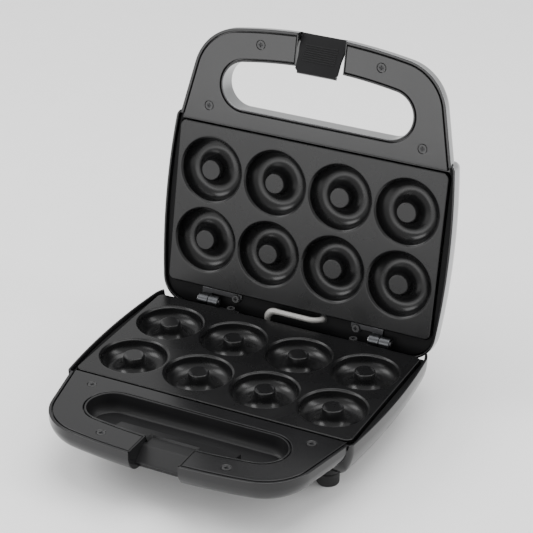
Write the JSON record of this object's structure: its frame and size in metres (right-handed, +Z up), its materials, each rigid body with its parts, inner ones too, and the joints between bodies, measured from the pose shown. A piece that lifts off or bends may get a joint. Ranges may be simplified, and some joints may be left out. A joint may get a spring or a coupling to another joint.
{
  "type": "electric ring-cake maker",
  "caption": "Hinged electric ring-cake maker with two cast plates of round ring cavities, a slotted handle on each half and a pivoting snap latch.",
  "frame": {"origin": "on the table plane, under the centre of the overall box with the lid open on its stop", "axes": "+Z up; -Y towards the handles at the front, +Y towards the hinge; +X to the right seen from the front"},
  "size_m": [0.241, 0.2882, 0.2676],
  "materials": {
    "shell_silver": "silver satin paint, slightly metallic, over black plastic that shows on the rims",
    "shell_black": "black moulded plastic, gloss",
    "trim_grey": "dark grey, gloss",
    "coated_plate": "dark non-stick coating on cast aluminium, satin",
    "liner_black": "black, matt",
    "heater_steel": "heat-dulled steel",
    "shield_aluminium": "thin rolled sheet",
    "terminal_cream": "moulded, matt",
    "rubber_black": "matt",
    "braid": "woven glass-fibre tube",
    "latch_black": "dark grey, fine satin",
    "bright_steel": "bright zinc plate"
  },
  "bodies": {
    "base": {"base_housing": "shell_black", "base_trim": "trim_grey", "base_trim_screws": "bright_steel", "base_plate": "coated_plate", "base_liner": "liner_black", "base_element": "heater_steel", "base_reflector": "shield_aluminium", "base_plate_screws": "bright_steel", "foot_front_left": "rubber_black", "foot_front_right": "rubber_black", "foot_rear_left": "rubber_black", "foot_rear_right": "rubber_black", "foot_screws": "bright_steel", "thermostat": "heater_steel", "base_fuse": "shield_aluminium", "terminal_block": "terminal_cream", "base_hinge_left": "bright_steel", "base_hinge_right": "bright_steel", "base_hinge_screws": "bright_steel", "hinge_pin_left": "bright_steel", "hinge_pin_right": "bright_steel", "cord_gland": "rubber_black", "base_grommet": "rubber_black", "wire_sleeve": "braid"},
    "lid": {"lid_cover": "shell_silver", "lid_trim": "trim_grey", "lid_trim_screws": "bright_steel", "lid_plate": "coated_plate", "lid_liner": "liner_black", "lid_element": "heater_steel", "lid_reflector": "shield_aluminium", "lid_plate_screws": "bright_steel", "lid_hinge_left": "bright_steel", "lid_hinge_right": "bright_steel", "lid_hinge_screws": "bright_steel", "lid_fuse": "shield_aluminium", "lid_grommet": "rubber_black", "latch_pin": "bright_steel"},
    "latch": {"latch": "latch_black"}
  },
  "joints": [
    {"name": "lid_hinge", "type": "hinge", "parent": "base", "child": "lid", "pos_m": [0, 0.08068, 0.0471], "axis": [1, 0, 0], "range_deg": [0, 100.5], "deforming": ["wire_sleeve"]},
    {"name": "latch_pivot", "type": "hinge", "parent": "lid", "child": "latch", "pos_m": [0, 0.13207, 0.26183], "axis": [-1, 0, 0], "range_deg": [0, 75]}
  ]
}
